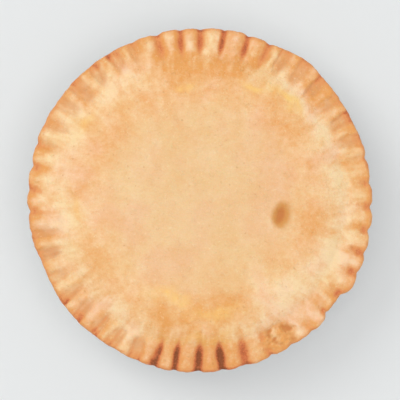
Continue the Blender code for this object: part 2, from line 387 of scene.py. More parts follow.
short_waves = (  # where they lie, the points they are read at, height and size in mm, and a seed
    (on_lid, flat, 0.10, 8.0, 1),
    (on_top, flat, 0.06, 3.2, 2),
    (on_top, places, 0.03, 1.5, 3),
    (on_edge, flat, 0.09, 2.0, 35),
)
for where, points, high, size, seed in short_waves:
    height += where * high * MM * bumps(points, size * MM, seed)
height += on_edge * EDGE_STREAK * crust_streaks(0.9, 4.5, 52, 38)
waves = (height - plain_height) / MM
print("waves from", round(float(waves.min()), 2), "to", round(float(waves.max()), 2), "mm")

# %% [markdown]
# ## The crimps
#
# The edge is pressed by a wheel, in crimps that are all alike in kind and never quite the same. Where the
# wheel leaned outwards they are narrow grooves that widen to the outline and notch it: long ones at the
# top and bottom of the pie, and short ones at its right and left. Where the wheel lay flat they are wide
# shallow marks with fine lines in them, which run out over the rim and don't notch it. The crimps that
# the photograph shows are placed by it. The rest, and each one's strength, slant, reach and width, is
# drawn at random from a fixed seed, so that the pie is the same each time.

# %% One set of numbers for each crimp
CRIMPS_SEEN = (  # for the half of the edge that shows best: degrees, and how brown
    (-105.3, 1.15), (-98.7, 1.00), (-90.4, 0.95), (-82.7, 1.05), (-73.9, 0.60), (-65.4, 0.50),
    (-57.6, 0.50), (-49.4, 0.40), (-41.7, 0.95), (-33.9, 1.10), (-25.4, 1.00), (-18.3, 1.00),
    (-10.1, 0.90), (-2.1, 0.85), (5.7, 0.80), (14.2, 0.90), (21.1, 1.00), (29.1, 1.05),
    (36.6, 1.10), (44.5, 0.90), (51.7, 0.85), (59.7, 0.80), (65.9, 0.80),
)  # fmt: skip
CRIMP_MIDDLES, SEEN_BAKE = zip(*CRIMPS_SEEN)
CRIMP_SHIFT = 0.08  # of a crimp: how uneven the others are
CRIMP_STRENGTHS = (0.75, 1.15)
CRIMP_SLANT = 0.10  # of a crimp, from end to end
CRIMP_REACH = 0.9 * MM  # how much farther in or out one may start
CRIMP_WIDTHS = (0.80, 1.20)
CRIMP_BAKES = (0.80, 1.15)

draw = random.Random(45)


def one_each(low, high):
    """A number between low and high for each crimp."""
    return np.array([draw.uniform(low, high) for _ in range(CRIMPS)])


unseen_shift = one_each(-CRIMP_SHIFT, CRIMP_SHIFT)
crimp_strength = one_each(*CRIMP_STRENGTHS)
crimp_slant = one_each(-CRIMP_SLANT, CRIMP_SLANT)
crimp_reach = one_each(-CRIMP_REACH, CRIMP_REACH)
crimp_width = one_each(*CRIMP_WIDTHS)
crimp_bake = one_each(*CRIMP_BAKES)

# %% Where each crimp lies
seen = len(CRIMPS_SEEN)
crimp_bake[:seen] = SEEN_BAKE
even_middles = CRIMP_MIDDLES[0] + np.arange(CRIMPS) * 360 / CRIMPS
gap = (CRIMP_MIDDLES[0] + 360 - CRIMP_MIDDLES[-1]) / (CRIMPS - seen + 1)
others = CRIMP_MIDDLES[-1] + gap * np.arange(1, CRIMPS - seen + 1)
crimp_shift = (np.concatenate([CRIMP_MIDDLES, others]) - even_middles) * CRIMPS / 360
crimp_shift[seen:] += unseen_shift[seen:]
print(seen, "crimps placed by the photograph, and", CRIMPS - seen, "others", round(gap, 2), "degrees apart")

# %% Where each point lies in its crimp
MARKED_STRETCHES = ((40, 26), (137, 24), (222, 34))  # degrees, middle and half width
NOTCHED_STRETCHES = ((-21, 36), (182, 22))
SWAY = 0.035  # of a crimp: how far its line wanders


def share_of(stretches):
    """1 inside any of the stretches, 0 outside them, for each point."""
    shares = [smooth(1.15 * half, 0.75 * half, degrees_from(middle)) for middle, half in stretches]
    return np.max(shares, axis=0)


along_edge = smooth(EDGE_INNER, PIE_RADIUS, plain_radius)
wide = share_of(MARKED_STRETCHES)
short = share_of(NOTCHED_STRETCHES)

place_round = (plain_angle - math.radians(CRIMP_MIDDLES[0])) / TURN * CRIMPS
number = np.round(place_round).astype(int)
own = number % CRIMPS
neighbour = (number + np.where(place_round > number, 1, -1)) % CRIMPS
off = np.abs(place_round - number)  # 0 in the middle of a crimp, 0.5 on a ridge
shift = (1 - off) * crimp_shift[own] + off * crimp_shift[neighbour]  # with no step between two crimps
pitch = TURN * np.maximum(plain_radius, 1 * MM) / CRIMPS
sway = SWAY * bumps(edge_places, 4 * MM, 4)
beside = place_round - number + crimp_slant[own] * (along_edge - 0.5) + sway  # of a crimp
across = np.abs(beside) * pitch

# %% Shape of the grooves
GROOVE_DEPTH = (1.6 * MM, 0.85 * MM)  # in long grooves and in short ones, as in the next three
GROOVE_START = (43.6, 51.6)  # radius in mm
GROOVE_FULL = (54.0, 56.0)  # radius in mm
NOTCH = (0.6 * MM, 0.8 * MM)  # in the outline
GROOVE_HALF = (0.5, 1.35)  # half width in mm, at the inner end and farther out
GROOVE_SHARPNESS = 1.6  # 2 is a round hollow, and less is more of a V
GROOVE_GENTLENESS = 1.2  # more than 1 starts it more gently
GROOVE_LOSS = 0.25  # of a short groove's depth, over the rim
DIP_SHARE = 0.30  # of the depth: a wide dip round each groove
DIP_HALF = 2.6 * MM

half_groove = crimp_width[own] * MM * between(GROOVE_HALF, over_radii(44.5, 52.5))
vee = np.exp(-((across / half_groove) ** GROOVE_SHARPNESS))
groove = crimp_strength[own] * ((1 - DIP_SHARE) * vee + DIP_SHARE * bell(across, DIP_HALF))
groove_from = between(GROOVE_START, short) * MM + crimp_reach[own]
groove_runs = smooth(groove_from, between(GROOVE_FULL, short) * MM, plain_radius) ** GROOVE_GENTLENESS
groove_runs *= 1 - GROOVE_LOSS * short * over_radii(56.2, 57.6)

# %% Shape of the wide marks
MARK_DEPTH = 0.75 * MM
MARK_HALF = (0.15, 0.27)  # half width, of a crimp, at the inner end and farther out
MARK_WOBBLE = 0.030  # of a crimp
MARK_SOFTNESS = (0.07, 0.16)  # of a crimp, on its two sides
MARK_START = 47.8 * MM
MARK_START_WOBBLE = 0.6 * MM
MARK_RUN_UP = 4.5 * MM
MARK_LOSS = 0.3  # of the depth, over the rim
MARK_SIDE_DEPTH = 0.08 * MM
MARK_LINE_DEPTH = 0.10 * MM

mark_half = crimp_width[own] * between(MARK_HALF, over_radii(48, 53))
mark_half += MARK_WOBBLE * bumps(edge_places, 2.2 * MM, 5)
softness = np.where(beside > 0, *MARK_SOFTNESS)
mark = crimp_strength[own] * smooth(mark_half + softness, mark_half - softness, np.abs(beside))
mark_start = MARK_START + crimp_reach[own] + MARK_START_WOBBLE * bumps(round_rim, 2.0 * MM, 26)
mark_runs = smooth(mark_start, mark_start + MARK_RUN_UP, plain_radius)
mark_runs *= 1 - MARK_LOSS * over_radii(56.4, 57.8)
mark_side = bell(beside - mark_half + 0.03, 0.08) * mark_runs  # along its steeper side
# The lines are noise that is narrow across the mark, long along it, and different in each crimp.
line_places = np.stack([30 * beside + 7.0 * own, 0.2 * plain_radius / MM, own * 3.1], axis=1)
mark_lines = bumps(line_places, 4.0, 28) * mark * mark_runs

# %% Press the crimps
grooves = between(GROOVE_DEPTH, short) * groove * groove_runs
marks = MARK_DEPTH * mark * mark_runs + MARK_SIDE_DEPTH * mark_side + MARK_LINE_DEPTH * mark_lines
pressed = on_top * between((grooves, marks), wide)
height -= pressed
print("deepest crimp", round(float(pressed.max()) / MM, 2), "mm")

# %% The outline
OUTLINE_BUMPS = (  # degrees, half width in degrees, how far out in mm
    (-22, 14.0, 0.8),
    (-31, 3.5, 0.8),
    (-39, 4.5, -1.5),
    (-48, 8.0, 0.6),
    (8, 16.0, -0.3),
    (50, 8.0, 1.0),
    (148, 20.0, 0.4),
    (205, 9.0, -0.7),
    (-95, 14.0, 0.3),
)
RIM_WAVES = ((0.25, 4.5, 6), (0.14, 1.5, 7), (0.05, 0.8, 39))  # height and size in mm, and a seed
RIM_FROM = 54.6 * MM
CRIMP_FADE = 6 * MM

outline = np.zeros_like(plain_angle)
for middle, half_width, out in OUTLINE_BUMPS:
    outline += out * MM * bell(degrees_from(middle), half_width)
at_rim = smooth(RIM_FROM, PIE_RADIUS, plain_radius)
radius += at_rim * (outline - between(NOTCH, short) * crimp_strength[own] * vee * (1 - wide))
radius += at_rim * MM * layered(round_rim, RIM_WAVES)
angle += shift * TURN / CRIMPS * smooth(EDGE_INNER - CRIMP_FADE, EDGE_INNER, plain_radius)
print("outline out to", round(float(radius.max()) / MM, 2), "mm")

# %% [markdown]
# ## Seam, shoulder and torn crimp
#
# Seen from the side, the edge is two layers, the lid's and the base's, pressed together: a wavy seam runs
# between them, and the lower layer stands back a little. On the shoulder the pastry is stretched into
# fine wrinkles that run towards the crimps. At the lower right one pair of crimps has run together into a
# patch of crumbled lumps, which is levelled and then built up again from noise, with four listed hollows.

# %% Seam between the two layers
SEAM_HEIGHT = 24.9 * MM
SEAM_WAVE = 0.25 * MM
SEAM_HALF = 0.22 * MM
SEAM_DEPTH = (0.35 * MM, 0.25 * MM)  # and how much it varies
STEP_BACK = (0.18 * MM, 0.22 * MM)  # of the lower layer, and how much it varies

round_side = round_rim * (1, 1, 0)
at_side = over_radii(56.6, 57.4)
from_seam = plain_height - (SEAM_HEIGHT + SEAM_WAVE * bumps(round_side, 6 * MM, 8))
below_seam = smooth(0.1 * MM, -0.3 * MM, from_seam)
in_seam = at_side * bell(from_seam, SEAM_HALF)
radius -= in_seam * (SEAM_DEPTH[0] + SEAM_DEPTH[1] * bumps(round_side, 3 * MM, 40))
radius -= at_side * below_seam * (STEP_BACK[0] + STEP_BACK[1] * np.abs(bumps(round_side, 5 * MM, 9)))
print(int((in_seam > 0.5).sum()), "points in the seam")

# %% Wrinkles on the shoulder
WRINKLE = 0.10 * MM
SHOULDER = (47.4 * MM, 3.0 * MM)  # radius, and half width

on_shoulder = on_top * bell(plain_radius - SHOULDER[0], SHOULDER[1])
height += WRINKLE * on_shoulder * crust_streaks(1.2, 9, 47, 10)

# %% The torn crimp
TORN_AT = math.radians(-60.5)
TORN_RADIUS = 53.0 * MM
TORN_SIZE = (5.8 * MM, 4.2 * MM)  # half along the edge, half across it
TORN_LUMPS = ((0.8, 2.6, 27), (0.7, 1.5, 12), (0.6, 1.0, 37))  # strength, size in mm and a seed
TORN_HOLLOWS = (  # x, y and size in mm
    (21.8, -44.8, 1.4),
    (28.2, -43.6, 1.2),
    (31.0, -47.4, 1.5),
    (24.4, -48.0, 1.1),
)
HOLLOW_STRENGTH = 1.2  # on the scale of the lumps' strengths
LUMP_LEVEL = EDGE_TOP + 0.35 * MM
LUMP_HEIGHT = 0.50 * MM
LEVELLED = 0.85  # share of the crimps that is gone
TEAR_RING_DEPTH = 0.25 * MM

torn_along = ((plain_angle - TORN_AT + math.pi) % TURN - math.pi) * TORN_RADIUS / TORN_SIZE[0]
torn_across = (plain_radius - TORN_RADIUS) / TORN_SIZE[1]
torn_away = np.hypot(torn_along, torn_across) + 0.15 * bumps(flat, 2.2 * MM, 11)
in_tear = on_top * smooth(1.20, 0.85, torn_away)
lumps = 0.2 + layered(flat, TORN_LUMPS)
for x, y, size in TORN_HOLLOWS:
    lumps -= HOLLOW_STRENGTH * bell(np.hypot(flat[:, 0] / MM - x, flat[:, 1] / MM - y), size)
tear_ring = on_top * bell(torn_away - 1.0, 0.22) * smooth(-0.8, 0.5, lumps)
height += LEVELLED * in_tear * (LUMP_LEVEL + LUMP_HEIGHT * np.tanh(1.2 * lumps) - height)
height -= TEAR_RING_DEPTH * tear_ring
print(int((in_tear > 0.5).sum()), "points in the torn crimp")

# %% [markdown]
# ## The vent
#
# The lid was pierced once, and in the oven gravy rose in the hole and dried there. What shows is a soft
# brown oval with no depth to see into. So it is a shallow dent with a lumpy floor, and its colour comes
# from an attribute in the material, which runs a little over the lip, as the gravy did.

# %% The vent
VENT_PLACE = (27.1 * MM, -5.1 * MM)
VENT_HALF_WIDTH = 2.8 * MM
VENT_HALF_LENGTH = 4.1 * MM
VENT_DEPTH = 0.7 * MM
VENT_LIP = 0.10 * MM
VENT_TURN = math.radians(-13)

from_vent = flat[:, :2] - VENT_PLACE
vent_across = from_vent @ (math.cos(VENT_TURN), math.sin(VENT_TURN)) / VENT_HALF_WIDTH
vent_along = from_vent @ (-math.sin(VENT_TURN), math.cos(VENT_TURN)) / VENT_HALF_LENGTH
vent_away = np.hypot(vent_across, vent_along) + 0.07 * bumps(flat, 2.4 * MM, 13)
in_vent = on_top * smooth(1.15, 0.20, vent_away)
height -= in_vent * VENT_DEPTH * (1 + 0.12 * bumps(flat, 1.8 * MM, 14))
height += on_top * VENT_LIP * bell(vent_away - 1.25, 0.18)
print("vent", round(2 * VENT_HALF_WIDTH / MM, 1), "by", round(2 * VENT_HALF_LENGTH / MM, 1), "mm")

# %% [markdown]
# ## Where the colours go
#
# A baker knows which parts of a pie colour first: thin edges, the bottoms of the crimps, and wherever egg
# wash has pooled, while floury places stay pale. Where these lie follows the pie's own features, so they
# are worked out here and written as attributes, one number a point. The first is the tone, from pale
# cream to orange. Only grain finer than the mesh is left to noise in the material.

# %% Patches with ragged edges
RAGGED = 2.2 * MM

ragged = RAGGED * np.stack([bumps(flat, 5 * MM, 15), bumps(flat, 5 * MM, 16)], axis=1)


def patches(list_of_patches):
    """The patches' values added up. Noise moves the points first, so that the patches are ragged."""
    total = np.zeros(len(flat))
    for x, y, half_out, half_side, value in list_of_patches:
        away = flat[:, :2] + ragged - np.array((x, y)) * MM
        outwards = np.array((x, y)) / math.hypot(x, y)
        out = away @ outwards / (half_out * MM)
        side = away @ (-outwards[1], outwards[0]) / (half_side * MM)
        total += value * np.exp(-(out**2) - side**2)
    return total


# %% Tone of the lid
TONE_MOST = 1.2  # of orange, where palest cream has a tone of 0
TONE_BY_RADIUS = (  # radius in mm, and a tone
    (0, 0.44), (14, 0.44), (20, 0.46), (30, 0.52), (36, 0.56), (41, 0.52), (44, 0.42), (46, 0.30),
    (48, 0.32), (50, 0.44), (52, 0.60), (54, 0.66), (56, 0.76), (58, 1.00),
)  # fmt: skip
TONE_PATCHES = (  # x and y in mm, half size outwards and sideways in mm, change of tone
    (39.0, 26.5, 3.0, 10.0, -0.60),
    (45.0, 8.0, 4.0, 5.0, -0.50),
    (46.0, -17.0, 3.0, 8.0, -0.40),
    (26.0, -30.0, 6.5, 9.0, -0.50),
    (35.0, -38.5, 3.5, 5.0, -0.40),
    (-5.0, -4.0, 14.0, 12.0, -0.12),
    (-46.0, -6.0, 3.0, 9.0, -0.35),
    (-30.0, 35.0, 3.0, 8.0, -0.35),
    (29.0, 25.0, 7.0, 7.0, 0.50),
    (40.0, -7.0, 7.0, 8.0, 0.30),
    (4.0, 36.0, 6.0, 14.0, 0.25),
    (2.0, 45.5, 5.0, 20.0, 0.85),
    (-14.0, -40.0, 6.0, 9.0, 0.55),
    (8.0, -37.0, 6.0, 12.0, 0.60),
    (0.0, -50.0, 5.0, 17.0, 0.80),
    (50.0, 22.0, 6.0, 13.0, 0.65),
    (40.0, 38.0, 5.0, 9.0, 0.60),
    (-34.0, 22.0, 7.0, 9.0, 0.25),
    (-38.0, -18.0, 5.0, 9.0, 0.25),
)
TONE_EASED = 0.75  # above this it rises less and less, so that no patch is flat
TONE_ROOM = 0.28  # and this is the most that it still rises
TONE_NOISE = ((0.20, 13.0, 17), (0.20, 5.5, 18), (0.14, 2.6, 19))  # strength, size in mm and a seed
EDGE_TONE_NOISE = 0.24
UNEVENNESS = ((10, 0.50), (30, 0.70), (38, 1.00))  # radius in mm, and how uneven the colour is

tone = by_radius(TONE_BY_RADIUS) + patches(TONE_PATCHES)
eased = TONE_EASED + TONE_ROOM * np.tanh((tone - TONE_EASED) / TONE_ROOM)
tone = np.where(tone > TONE_EASED, eased, tone)
unevenness = by_radius(UNEVENNESS)
tone += (0.15 + 0.85 * unevenness) * layered(flat, TONE_NOISE)
tone += EDGE_TONE_NOISE * bumps(flat, 2.0 * MM, 36) * over_radii(45, 50)
print("tone of the lid", round(float(tone[plain_radius < 45 * MM].mean()), 2))

# %% Tone of the edge
TORN_TONE = 0.30
SIDE_TONE = 0.30
WIDE_STREAKS, FINE_STREAKS = 0.30, 0.22
GROOVE_TONE = (0.30, 0.42)  # in long grooves, and on one flank of short ones
RIDGE_PALER = 0.28

# The lumps in the torn crimp have coloured more than the hollows between them.
tone += TORN_TONE * in_tear * (1 + lumps)
# The rim's side shows thin layers, and is paler below the seam.
tone += SIDE_TONE * at_side * (bumps(round_rim * (1, 1, 5), 3.5 * MM, 41) - below_seam)
# Pastry that is stretched has streaks, which fade down the rim's side.
down_the_side = at_side * smooth(EDGE_TOP, EDGE_TOP - 1.0 * MM, plain_height)
stretched = over_radii(40, 46) * (1 - 0.7 * down_the_side)
tone += stretched * WIDE_STREAKS * crust_streaks(3.0, 9, 48, 20)
tone += stretched * FINE_STREAKS * crust_streaks(1.1, 4.5, 50, 21)
# Grooves are deeper in colour, and ridges are paler, but less so where the pie has baked most.
tone += GROOVE_TONE[0] * (1 - wide) * (1 - short) * bell(across, 1.6 * MM) * over_radii(43, 48)
tone += GROOVE_TONE[1] * short * bell(beside - 0.12, 0.22) * over_radii(50.5, 55)
on_ridge = smooth(0.30, 0.48, off) * over_radii(49, 52) * over_radii(57, 55)
baked_most = bell(degrees_from(-88), 24)
tone -= RIDGE_PALER * (1 - 0.2 * wide - 0.7 * baked_most) * on_ridge
print("tone of the edge", round(float(tone[plain_radius > 50 * MM].mean()), 2))

# %% Write the tone, the blush and the egg wash
BLUSH_NOISE = ((0.50, 15, 33), (0.35, 6, 34))  # strength, size in mm and a seed
EGG_PATCHES = (  # x and y in mm, half size outwards and sideways in mm, how yellow
    (17.5, 37.2, 1.5, 4.5, 0.70),
    (28.5, 34.0, 1.6, 6.5, 0.85),
    (-4.5, 37.5, 1.3, 2.2, 0.6),
    (-9.5, -32.5, 2.6, 6.5, 0.8),
    (4.0, -38.0, 2.2, 8.0, 0.55),
    (0.0, -47.0, 2.2, 14.0, 0.30),
    (-37.5, 26.0, 1.8, 3.0, 0.5),
    (-42.0, -4.0, 1.6, 5.0, 0.3),
)

write_attribute(crust, "tone", tone / TONE_MOST)
write_attribute(crust, "uneven", unevenness)
write_attribute(crust, "blush", 0.5 + layered(flat, BLUSH_NOISE))
egg = patches(EGG_PATCHES) * (0.85 + 0.5 * bumps(flat, 2.0 * MM, 22))
write_attribute(crust, "egg_wash", egg * on_top)

# %% [markdown]
# ## Browning
#
# The bottoms of the crimps lie closest to the hot tin and brown most, more on some sides of the pie than
# on others. Long grooves are brown over most of their length and short ones in a spot at the outline, and
# this brown is partly painted shade, for the shade that falls in the grooves. The wide marks only turn tan,
# with a line of painted shadow along each one's steeper side. This could have been painted by eye, but
# worked out from the crimps' own shape it stays on them wherever they are moved.

# %% How brown each side of the pie is
BROWNED = (  # degrees, half width in degrees, how brown, and the radius in mm from where it is brown
    (-90, 26, 1.00, 46.2),
    (-22, 34, 0.75, 53.6),
    (40, 26, 0.50, 49.4),
    (84, 24, 0.70, 46.6),
    (127, 13, 0.60, 49.6),
    (176, 15, 0.70, 53.2),
    (226, 14, 0.90, 50.0),
)
BROWN_ELSEWHERE = (0.25, 52.5)  # how brown, and from what radius in mm

brown = np.full_like(plain_angle, BROWN_ELSEWHERE[0])
brown_from = np.full_like(plain_angle, BROWN_ELSEWHERE[1])
for middle, half_width, how, from_radius in BROWNED:
    share = how * smooth(1.3 * half_width, 0.7 * half_width, degrees_from(middle))
    brown_from = np.where(share > brown, from_radius, brown_from)
    brown = np.maximum(brown, share)
past = plain_radius / MM - brown_from

# %% Brown in the grooves, partly painted shade
FAINT_BROWN = 0.12  # in a long groove's inner end
SPOT = (0.67, 56.0 * MM, 1.35 * MM)  # in a short groove: how brown, radius and half length
BEFORE_SPOT = 0.08
BROWN_WIDTH = (0.92, 1.10)  # of the groove's, in long grooves and in short ones
BROWN_SHARPNESS = 2.6
BESIDE_SPOT = 0.42

full_brown = smooth(0, 6.5, past) * (1 - 0.25 * over_radii(53, 57))
along_long = FAINT_BROWN * over_radii(44, 47) + (1 - FAINT_BROWN) * full_brown
along_short = SPOT[0] * bell(plain_radius - SPOT[1], SPOT[2]) + BEFORE_SPOT * over_radii(51.5, 54.5)
half_brown = (1 - 0.45 * (1 - short) * smooth(4.5, 0, past)) * between(BROWN_WIDTH, short) * half_groove
# The brown in the grooves is partly real browning and partly painted shade for the shade that falls in
# them.
groove_brown_and_shade = np.exp(-((across / half_brown) ** BROWN_SHARPNESS)) * between((along_long, along_short), short)
beside_spot = short * bell(beside - 0.10, 0.16) * bell(plain_radius - 53.2 * MM, 1.8 * MM)
groove_brown_and_shade += BESIDE_SPOT * beside_spot * smooth(-0.3, 0.7, bumps(flat, 2.6 * MM, 44))

# %% Brown and tan in the wide marks, and painted shadow along their steeper side
MARK_BROWN = (0.12, 0.57)  # along the mark and at the outline
# along the steeper side, where the colour is painted shadow
SIDE_SHADOW_BROWN = (0.15, 0.50)
LINE_BROWN = 0.30
MARK_TAN, SIDE_SHADOW_TAN, LINE_TAN = 0.60, 0.08, 0.25

mark_end = over_radii(54.0, 56.4)
mark_shade = mark * mark_runs * (1 + 0.4 * bumps(flat, 2.4 * MM, 45))
# A line of painted shadow along each mark's steeper side, in brown and tan, where that wall's shadow falls.
side_painted_shadow = mark_side * smooth(-0.5, 0.6, bumps(flat, 3 * MM, 46))
in_mark = between(MARK_BROWN, mark_end) * mark_shade + between(SIDE_SHADOW_BROWN, mark_end) * side_painted_shadow
in_mark += LINE_BROWN * mark_lines
tanned = MARK_TAN * mark_shade + SIDE_SHADOW_TAN * side_painted_shadow + LINE_TAN * mark_lines
write_attribute(crust, "tan", wide * (1 - in_tear) * tanned)

# %% All the browning together
UNDER_EDGE = 0.1  # share of the browning that is left below the edge's top
SEAM_BROWN = 0.30
SIDE_SPOTS = 0.10
BAKED_MOST_BROWN = 0.14
RIM_BROWN = 0.20
TORN_BROWN = (0.06, 0.22)  # on the lumps and in the hollows
TEAR_RING_BROWN = 0.06

# the grooves' share of this is partly painted shade
baked = brown * crimp_bake[own] * between((groove_brown_and_shade, in_mark), wide) * (1 - in_tear)
baked *= between((UNDER_EDGE, 1), smooth(EDGE_TOP - 1.3 * MM, EDGE_TOP + 0.2 * MM, plain_height))
baked += SEAM_BROWN * in_seam
baked += SIDE_SPOTS * at_side * smooth(0.2, 1.0, bumps(round_rim, 4 * MM, 42))
baked += BAKED_MOST_BROWN * baked_most * over_radii(47, 50) * (1 - in_tear)
baked += RIM_BROWN * over_radii(56.2, 57.6) * (1 + 0.8 * bumps(round_rim, 3 * MM, 23))
baked += in_tear * between(TORN_BROWN, smooth(0.4, -1.2, lumps)) + TEAR_RING_BROWN * tear_ring
write_attribute(crust, "baked", baked)
print("brownest", round(float(baked.max()), 2))

# %% Gravy in the vent and in the torn crimp
TORN_GRAVY = 0.9

gravy = on_top * smooth(1.45, 0.75, vent_away + 0.06 * bumps(flat, 1.2 * MM, 25))
write_attribute(crust, "gravy", gravy + TORN_GRAVY * in_tear * smooth(0.5, -0.8, lumps))
vent_core = np.hypot(1.25 * vent_across + 0.10, 0.95 * vent_along) + 0.10 * bumps(flat, 1.8 * MM, 29)
write_attribute(crust, "gravy_dark", smooth(0.95, 0.25, vent_core) + in_tear * smooth(0.1, -1.4, lumps))

# %% Move the crust's points, and say what it belongs to
write_points(crust, radius, angle, height)
bpy.ops.object.select_all(action="DESELECT")
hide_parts("pie")
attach(crust, "root")

# %% [markdown]
# ## Baked pastry
#
# Shortcrust is matte, a little see-through and nowhere one colour. The attributes say where each colour
# lies: from pale cream to orange, then egg wash, tan in the wide marks, browning in three steps, and
# gravy. Noise on the piece's own coordinates adds the grain, flecks of flour, darker specks and small
# blisters. Pictures of pastry easily come out too orange, so each colour was set against the real one, in
# the same light. The lamps are set so that a white surface facing up comes out just white, so from_screen
# only has to undo the screen's curve.

# %% Colours of the pastry
def from_screen(red, green, blue):
    """A colour as a picture shows it, from 0 to 255, as the colour of the surface."""
    return tuple(((value / 255 + 0.055) / 1.055) ** 2.4 for value in (red, green, blue)) + (1,)


PALE = from_screen(255, 221, 172)
ORANGE = from_screen(236, 165, 90)
# a duller colour, which the middle of the lid is blended towards
DULLER_MIDDLE = from_screen(232, 191, 136)
ROSY = from_screen(252, 203, 163)
STRAW = from_screen(250, 216, 160)
EGG_YELLOW = from_screen(255, 206, 118)
TAN = from_screen(219, 156, 101)
TOASTED = from_screen(232, 156, 92)
RUSSET = from_screen(210, 116, 66)
BROWN = from_screen(146, 78, 38)
GRAVY = from_screen(220, 155, 82)
GRAVY_DARK = from_screen(206, 127, 62)
SPECK = from_screen(218, 160, 100)


# %% Node helpers
def new_material(name):
    """A material, its node tree and its shader."""
    material = bpy.data.materials.new(name)
    material.use_nodes = True
    tree = material.node_tree
    return material, tree, tree.nodes["Principled BSDF"]


def join(tree, node, inputs):
    """Gives a node's inputs their values, each a number, a colour or another node's output."""
    for name, value in inputs.items():
        if isinstance(value, bpy.types.NodeSocket):
            tree.links.new(value, node.inputs[name])
        else:
            node.inputs[name].default_value = value


def attribute_of(tree, name):
    """The attribute that was written under this name."""
    node = tree.nodes.new("ShaderNodeAttribute")
    node.attribute_name = name
    return node.outputs["Fac"]


def noise_of(tree, size, detail=2.0, roughness=0.5):
    """Noise on the piece's own coordinates, with spots about `size` metres across."""
    places = tree.nodes.new("ShaderNodeTexCoord").outputs["Object"]
    node = tree.nodes.new("ShaderNodeTexNoise")
    join(tree, node, {"Vector": places, "Scale": 1 / size, "Detail": detail, "Roughness": roughness})
    return node.outputs["Fac"]


def maths(tree, operation, first, second):
    """Sums on two values, or on the first alone, by their name in Blender."""
    node = tree.nodes.new("ShaderNodeMath")
    node.operation = operation
    join(tree, node, {0: first, 1: second})
    return node.outputs[0]


def ramp(tree, value, low, high, low_value=0.0, high_value=1.0):
    """Value between low and high, eased to between low_value and high_value."""
    node = tree.nodes.new("ShaderNodeMapRange")
    node.interpolation_type = "SMOOTHSTEP"
    join(tree, node, {"Value": value, "From Min": low, "From Max": high})
    join(tree, node, {"To Min": low_value, "To Max": high_value})
    return node.outputs["Result"]


def blend_colour(tree, share, under, over):
    """Over laid on under, by share."""
    node = tree.nodes.new("ShaderNodeMix")
    node.data_type = "RGBA"
    join(tree, node, {0: share, 6: under, 7: over})  # its colours have these numbers
    return node.outputs[2]


def bump_of(tree, strength, distance, height):
    """The direction of a surface with relief, which is `distance` deep where the height is 1."""
    node = tree.nodes.new("ShaderNodeBump")
    join(tree, node, {"Strength": strength, "Distance": distance, "Height": height})
    return node.outputs["Normal"]


# %% The tone of the pastry, with its grain
pastry, tree, shader = new_material("baked shortcrust")
uneven, blush, baked_share = (attribute_of(tree, name) for name in ("uneven", "blush", "baked"))
grain = maths(tree, "SUBTRACT", noise_of(tree, 1.7 * MM, 3.0, 0.6), 0.5)
fine = maths(tree, "SUBTRACT", noise_of(tree, 0.6 * MM, 3.0, 0.6), 0.5)
coarse = maths(tree, "MULTIPLY", grain, ramp(tree, uneven, 0.0, 1.0, 0.25, 0.75))
tone_here = maths(tree, "ADD", attribute_of(tree, "tone"), coarse)
tone_here = maths(tree, "ADD", tone_here, maths(tree, "MULTIPLY", fine, 0.55))
pale_here = blend_colour(tree, ramp(tree, blush, 0.4, 1.0, 0.0, 0.8), PALE, ROSY)
pale_here = blend_colour(tree, ramp(tree, blush, 0.6, 0.0, 0.0, 0.8), pale_here, STRAW)

# %% What lies on it
specks = ramp(tree, noise_of(tree, 1.3 * MM), 0.66, 0.80, 0.0, 0.5)
flour = ramp(tree, noise_of(tree, 0.9 * MM), 0.62, 0.74, 0.0, 0.35)
rough_edge = maths(tree, "MULTIPLY", maths(tree, "MULTIPLY", fine, baked_share), 1.1)
baked_here = maths(tree, "ADD", baked_share, maths(tree, "MULTIPLY", grain, 0.15))
baked_here = maths(tree, "ADD", baked_here, rough_edge)
gravy_colour = blend_colour(tree, attribute_of(tree, "gravy_dark"), GRAVY, GRAVY_DARK)
colour_layers = (  # how much there is of each colour, and each is laid over those before it
    (tone_here, ORANGE),
    # duller towards the middle of the lid, where the colour is least uneven
    (ramp(tree, uneven, 0.4, 1.0, 0.5, 0.0), DULLER_MIDDLE),
    (attribute_of(tree, "egg_wash"), EGG_YELLOW),
    (attribute_of(tree, "tan"), TAN),
    (specks, SPECK),
    (flour, PALE),
    (ramp(tree, baked_here, 0.02, 0.36), TOASTED),
    (ramp(tree, baked_here, 0.28, 0.66), RUSSET),
    (ramp(tree, baked_here, 0.58, 0.98), BROWN),
    (attribute_of(tree, "gravy"), gravy_colour),
)
colour = pale_here
for share, over in colour_layers:
    colour = blend_colour(tree, share, colour, over)

# %% Its surface
blisters = ramp(tree, noise_of(tree, 2.6 * MM), 0.56, 0.76, 0.0, 0.7)
fine_crumb = maths(tree, "MULTIPLY", noise_of(tree, 0.35 * MM), 0.45)
crumb = maths(tree, "ADD", noise_of(tree, 1.1 * MM, 4.0, 0.62), fine_crumb)
crumb = maths(tree, "ADD", crumb, blisters)
crumb = maths(tree, "SUBTRACT", crumb, specks)
surface = {
    "Base Color": colour,
    "Normal": bump_of(tree, 0.6, 0.4 * MM, crumb),
    "Roughness": ramp(tree, noise_of(tree, 3 * MM), 0.3, 0.7, 0.50, 0.64),
    "Specular IOR Level": 0.30,
    "Subsurface Weight": 0.12,
    "Subsurface Radius": (1.0, 0.45, 0.20),
    "Subsurface Scale": 0.8 * MM,
}
join(tree, shader, surface)
crust.data.materials.append(pastry)
print("baked shortcrust:", len(tree.nodes), "nodes")

# %% [markdown]
# ## The foil tin
#
# The tin is pressed from a round of foil, so its wall has more foil than it needs, and the press folds
# that into flutes. Its rim is flat with a rolled edge, and a ring is pressed into its base to stiffen it.
# A solid wall is turned here, and the flutes move its inside and outside together, so it stays thin all
# round.

